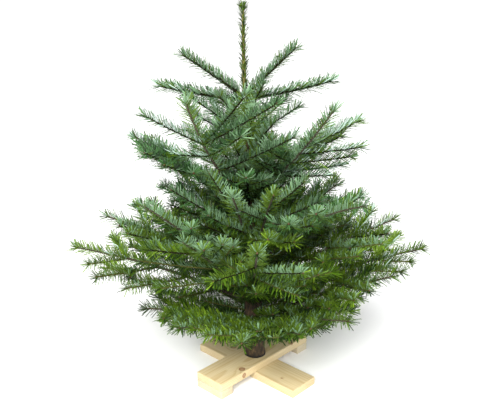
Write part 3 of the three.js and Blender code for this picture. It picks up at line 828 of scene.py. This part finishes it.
def needlePlaces(shoot, whorl):
    # distances along the shoot: on the older wood, on the full growth, and in the rosette
    run = shoot["length"] - shoot["bare"]
    old = needle["oldPart"] * run if isAged(shoot) else 0
    full = needle["perMillimetre"]
    if whorl == "top":
        full = full * needle["youngShare"]
    elif whorl in upperWhorls:
        full = full * needle["upperShare"]
    return shoot["bare"] + np.concatenate([
        np.linspace(0, old, int(old * full * needle["oldShare"]), endpoint=False),
        np.linspace(old, run, int((run - old) * full)),
        np.linspace(run - needle["rosetteRun"], run, needle["rosette"])])


def needlesOf(shoot):
    draw = np.random.default_rng(shoot["seed"] * 7 + 3)

    def vary(name):
        return draw.uniform(*needle[name], count)

    whorl = whorlOf(shoot["bough"])
    isTop = whorl == "top"
    distances = needlePlaces(shoot, whorl)
    count = len(distances)
    point, forward, sideways, up = frameAt(shoot, distances)
    turn = (np.arange(count) * goldenAngle + draw.normal(0, needle["turnSpread"], count)) % 360 - 180
    rosette = np.arange(count) >= count - needle["rosette"]
    cut = needle["raisedShare"] + (needle["topRaisedMore"] if isTop else 0)
    raised = needle["raised" if isTop or whorl in upperWhorls else "lowRaised"]
    rank = np.interp(np.abs(turn) / 180, (0, cut, cut + 0.0001, 1), raised + needle["spread"])
    swept = np.where(rosette, turn, np.sign(turn) * rank)
    phi = np.radians(swept)[:, None]
    outward = np.cos(phi) * up + np.sin(phi) * sideways
    sideness = np.sin(phi[:, 0]) ** 2
    nearTip = np.exp(-(shoot["length"] - distances) / needle["tipRun"])
    nearFoot = np.exp(-distances / needle["footRun"])
    angle = needle["topAngle"] + (needle["sideAngle"] - needle["topAngle"]) * sideness
    angle = angle - needle["tipLean"] * nearTip + draw.normal(0, needle["angleSpread"], count)
    angle = np.where(rosette, vary("rosetteAngles"), angle)
    beta = np.radians(angle)[:, None]
    heading = unit(np.cos(beta) * forward + np.sin(beta) * outward)
    length = needle["topLength"] + (needle["length"] - needle["topLength"]) * sideness
    length = length * (1 - needle["tipShorter"] * nearTip) * (1 - needle["footShorter"] * nearFoot)
    standing = draw.random(count) < needle["standing"]
    length = length * np.where(standing, vary("standingLengths"), vary("closeLengths"))
    steep = shoot["lift"] >= paleRule["steepLift"] and whorl not in ("top", "upper")
    silverShare, glintShare = paleShares[whorl]
    turnedOver = silverShare * draw.uniform(*paleRule["spread"]) * (paleRule["steep"] if steep else 1)
    onTop = np.abs(swept) < needle["raisedTo"]
    untwisted = draw.random(count) < turnedOver * np.where(onTop, 1, paleRule["spreadRanks"])
    facing = np.where(untwisted[:, None], squareTo(heading, forward), squareTo(heading, up))
    facing = unit(facing + np.cross(heading, facing) * draw.normal(0, needle["facingSpread"], (count, 1)))
    root = point + outward * (radiusAt(shoot, distances) * needle["sunk"])[:, None]
    hanging = (np.abs(swept) > needle["hangingFrom"]) & ~rosette
    longer = needle["topHangingLonger" if isTop else "hangingLonger"]
    length = length * np.where(hanging, longer, 1)
    width = needle["width"] * np.where(hanging, needle["hangingWidth"], 1) * vary("widths")
    if whorl in ("lower", "bottom"):
        width = width * needle["lowWider"]
    arch = needle["arch"] * np.where(untwisted, needle["silverArch"], 1.0) * vary("arches")
    tops, under = tintsOf(shoot, draw, count, np.abs(swept) > needle["raisedTo"])
    other = silver + paleGreen - under
    under = np.where(draw.random(count) < rule["otherUnder"], other, under)
    # painted highlight: some raised needles that keep their pale side outward get the near-white glint
    # colour there
    glinting = untwisted & (draw.random(count) < glintShare)
    under = np.where(glinting, paintedGlint, np.where(hanging, paleGreen, under))
    return needleMesh(root, heading, facing, length, width, arch, tops, under)


# needles that grow from the trunk itself
leader = {
    "from": 798, "to": 1003, "perMillimetre": 1.5, "length": 18, "angle": 40, "width": 2.8,
    "tops": (grass, deep, grass), "unders": (paleGreen, deep), "tuft": 54,
}
stemNeedles = {
    "from": 560, "to": 772, "perMillimetre": 0.9, "length": 18, "angle": 50, "width": 2.2,
    "tops": (deep, grass), "unders": (paleGreen,), "tuft": 0,
}
onTrunk = {
    "turnSpread": 12, "angleSpread": 10, "lengths": (0.65, 1.2), "tuftDrop": (-3, 7),
    "tuftAngles": (8, 68), "lean": -0.017, "sunk": 0.85, "arch": -0.8,
}


def needlesOnTrunk(form, seed):
    draw = np.random.default_rng(seed)
    run = form["to"] - form["from"]
    spaced = int(run * form["perMillimetre"])
    count = spaced + form["tuft"]
    inTuft = np.arange(count) >= spaced
    heights = np.concatenate([form["from"] + (np.arange(spaced) + 0.5) / spaced * run,
                              form["to"] - draw.uniform(*onTrunk["tuftDrop"], form["tuft"])])
    radius, lean = trunkAt(heights)
    turn = np.radians(np.arange(count) * goldenAngle + draw.normal(0, onTrunk["turnSpread"], count))
    outward = np.stack([np.cos(turn), np.sin(turn), np.zeros(count)], -1)
    rise = np.tile([onTrunk["lean"], 0, 1.0], (count, 1))
    angle = np.where(inTuft, draw.uniform(*onTrunk["tuftAngles"], count),
                     form["angle"] + draw.normal(0, onTrunk["angleSpread"], count))
    beta = np.radians(angle)[:, None]
    heading = unit(np.cos(beta) * rise + np.sin(beta) * outward)
    length = form["length"] * draw.uniform(*onTrunk["lengths"], count)
    facing = squareTo(heading, rise)
    root = np.stack([lean, np.zeros(count), heights], -1)
    root = root + outward * (radius * onTrunk["sunk"])[:, None]
    return needleMesh(root, heading, facing, length, np.full(count, form["width"]),
                      np.full(count, onTrunk["arch"]), draw.choice(form["tops"], count),
                      draw.choice(form["unders"], count))


def addNeedles(grown, trunkTwigs):
    # a piece for each whorl, or more where it has many needles
    materials = needleMaterials()
    whorls = {}
    for (name, *_), crown in zip(boughs, grown):
        whorls.setdefault(whorlOf(name), []).append((name, [needlesOf(shoot) for shoot in crown]))
    whorls["top"].append(("leader", [needlesOnTrunk(leader, 11), needlesOnTrunk(stemNeedles, 12)]))
    whorls["trunk"] = [("", [needlesOf(shoot) for shoot in trunkTwigs])]
    total = 0
    for whorl, masses in whorls.items():
        batches = [[]]
        size = 0
        for name, parts in masses:
            triangles = sum(len(part[1]) for part in parts)
            if size + triangles > needle["pieceLimit"]:
                batches.append([])
                size = 0
            batches[-1].append((name, parts))
            size += triangles
        for number, batch in enumerate(batches):
            corners, faces, tints = gather([part for _, parts in batch for part in parts])
            piece = meshFromArrays(f"needles_{whorl}_{number + 1}", corners, faces, tints)
            finishPiece(piece, materials,
                        ["foliage_" + name for name, _ in batch if name])
            total += len(faces)
    print("needles:", total, "triangles")


bud = {
    "length": 5.2, "radius": 1.7, "count": 3, "splay": 38, "turnSpread": 0.3, "sizes": (0.8, 1.15),
    "sideSize": 0.85, "sunk": 0.8, "colour": (0.11, 0.050, 0.022),
}


def addBuds(crown):
    # one bud ends each shoot, and two smaller ones stand beside it
    shape = np.array([[0, 0, 0], [0.35, 1, 0], [0.35, 0, 1], [0.35, -1, 0], [0.35, 0, -1],
                      [0.72, 0.7, 0.7], [0.72, -0.7, 0.7], [0.72, -0.7, -0.7], [0.72, 0.7, -0.7],
                      [1, 0, 0]])
    faces = np.array([[0, 2, 1], [0, 3, 2], [0, 4, 3], [0, 1, 4], [1, 2, 5], [2, 3, 6],
                      [3, 4, 7], [4, 1, 8], [2, 6, 5], [3, 7, 6], [4, 8, 7], [1, 5, 8],
                      [5, 6, 9], [6, 7, 9], [7, 8, 9], [8, 5, 9]])
    parts = []
    for shoot in crown:
        draw = np.random.default_rng(shoot["seed"] + 5)
        point, forward, sideways, up = (value[0] for value in frameAt(shoot, [shoot["length"]]))
        for k in range(bud["count"]):
            tilt = math.radians(bud["splay"] if k else 0)
            turn = math.tau * (k / 2 + draw.random() * bud["turnSpread"])
            outward = sideways * math.cos(turn) + up * math.sin(turn)
            axis = forward * math.cos(tilt) + outward * math.sin(tilt)
            right = unit(np.cross(axis, up))
            above = np.cross(right, axis)
            size = draw.uniform(*bud["sizes"]) * (bud["sideSize"] if k else 1)
            local = shape * np.array([bud["length"], bud["radius"], bud["radius"]]) * size
            base = point - forward * bud["sunk"]
            corners = base + local[:, :1] * axis + local[:, 1:2] * right + local[:, 2:] * above
            parts.append((corners, faces, np.zeros(len(faces), dtype=int)))
    piece = meshFromArrays("buds", *gather(parts), smooth=True)
    material = newMaterial("budScales", 0.5, bud["colour"])
    finishPiece(piece, [material], [])
    print("buds done")


studio = {
    "camera": (-14, -1648, 1011), "downAngle": 16.96, "lens": 46.15,
    "floor": (0.95, 0.95, 0.95), "floorSize": 60, "lampsAim": (0, 0, 0.5),
    # the world's strength changes between two heights in the sky
    "fadeHeights": (0.03, 0.14), "fadeStrengths": (1.1, 0.36),
}
lamps = [
    # name, place in metres, size, power, colour
    ("keySoftbox", (-1.1, -2.7, 2.1), 1.3, 70, (1.0, 0.99, 0.95)),
    ("fillSoftbox", (1.7, -2.5, 1.2), 1.8, 34, (0.97, 0.99, 1.0)),
]
sun = {"strength": 4.8, "angle": 42, "elevation": 46, "azimuth": -94}


def addFloor():
    deselectAll()
    bpy.ops.mesh.primitive_plane_add(size=studio["floorSize"], location=(0, 0, 0))
    floor = bpy.context.object
    floor.name = "floor"
    floor.data.materials.append(newMaterial("floorPaper", 0.9, studio["floor"]))


def addWorld():
    # brighter towards the horizon, so the floor runs out into white
    world = bpy.data.worlds.new("studio")
    bpy.context.scene.world = world
    world.use_nodes = True
    background = world.node_tree.nodes["Background"]
    background.inputs["Color"].default_value = (*white, 1)
    place = addNode(world, "ShaderNodeTexCoord")
    split = addNode(world, "ShaderNodeSeparateXYZ")
    fade = addNode(world, "ShaderNodeMapRange")
    join(world, place.outputs["Generated"], split.inputs[0])
    join(world, split.outputs["Z"], fade.inputs["Value"])
    join(world, fade.outputs["Result"], background.inputs["Strength"])
    values = studio["fadeHeights"] + studio["fadeStrengths"]
    for name, value in zip(("From Min", "From Max", "To Min", "To Max"), values):
        fade.inputs[name].default_value = value


def addLamp(data, heading):
    # a lamp shines along its own -Z
    lamp = bpy.data.objects.new(data.name, data)
    lamp.rotation_euler = heading.to_track_quat("-Z", "Y").to_euler()
    bpy.context.collection.objects.link(lamp)
    return lamp


def addLamps():
    middle = Vector(studio["lampsAim"])
    for name, place, size, power, colour in lamps:
        data = bpy.data.lights.new(name, "AREA")
        data.shape = "DISK"
        data.size = size
        data.energy = power
        data.color = colour
        addLamp(data, middle - Vector(place)).location = place
    data = bpy.data.lights.new("sun", "SUN")
    data.energy = sun["strength"]
    data.angle = math.radians(sun["angle"])
    addLamp(data, -Vector(headingOf(sun["azimuth"], sun["elevation"])))


def addCamera():
    data = bpy.data.cameras.new("camera")
    data.lens = studio["lens"]
    camera = bpy.data.objects.new("camera", data)
    camera.location = [value * mm for value in studio["camera"]]
    camera.rotation_euler = (math.radians(90 - studio["downAngle"]), 0, 0)
    bpy.context.collection.objects.link(camera)
    bpy.context.scene.camera = camera
    bpy.context.scene.view_settings.view_transform = "Standard"


addFloor()
addWorld()
addLamps()
addCamera()
print("studio done")
addStand()
addTrunk()
grownBoughs = [growBough(number, row) for number, row in enumerate(boughs)]
trunkTwigs = growInternodes()
wholeCrown = [shoot for crown in grownBoughs for shoot in crown] + trunkTwigs
addTwigs(wholeCrown)
addNeedles(grownBoughs, trunkTwigs)
leaderTip = {"seed": 4, "start": np.array([-31.0, 0, 960]), "azimuth": 180, "lift": 89, "curl": 0,
             "length": 46}
addBuds(wholeCrown + [leaderTip])
